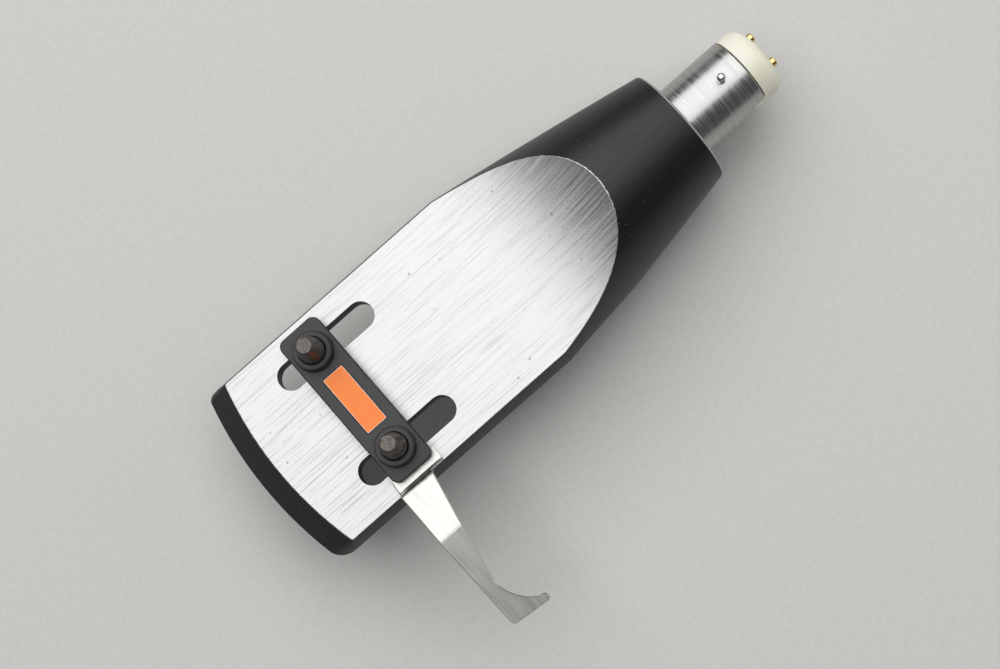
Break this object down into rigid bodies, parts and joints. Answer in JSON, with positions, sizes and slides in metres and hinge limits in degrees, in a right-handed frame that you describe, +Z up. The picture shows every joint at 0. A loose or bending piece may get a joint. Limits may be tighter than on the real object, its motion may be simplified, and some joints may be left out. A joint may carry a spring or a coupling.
{
  "type": "turntable headshell",
  "caption": "Bayonet-plug headshell milled from a turned blank, with slotted plate, screwed clamp bar and folded finger lift.",
  "frame": {"origin": "on the arm plug's axis, in the plane of the shoulder that stops against the tonearm", "axes": "+X rearward along the plug into the tonearm, +Z up out of the brushed top face, finger lift on the -Y side"},
  "size_m": [0.0677, 0.0384, 0.0187],
  "materials": {
    "body_anodised": "black satin anodised, with brushed bare aluminium on the flat top and its scoop",
    "plug_metal": "fine turned, bright",
    "pin_steel": "plain bright steel",
    "cream_plastic": "moulded, satin",
    "contact_gold": "gold plated",
    "black_plastic": "moulded, satin",
    "badge_orange": "satin orange paint on a thin metal plate",
    "lift_sheet": "satin bare metal",
    "screw_black": "blackened steel"
  },
  "bodies": {
    "root": {"shell_body": "body_anodised", "plug_tube": "plug_metal", "guide_pin": "pin_steel", "plug_insulator": "cream_plastic", "contact_pin_1": "contact_gold", "contact_pin_2": "contact_gold", "contact_pin_3": "contact_gold", "contact_pin_4": "contact_gold", "clamp_plate": "black_plastic", "badge": "badge_orange", "finger_lift": "lift_sheet", "screw_left": "screw_black", "screw_right": "screw_black"}
  },
  "joints": []
}
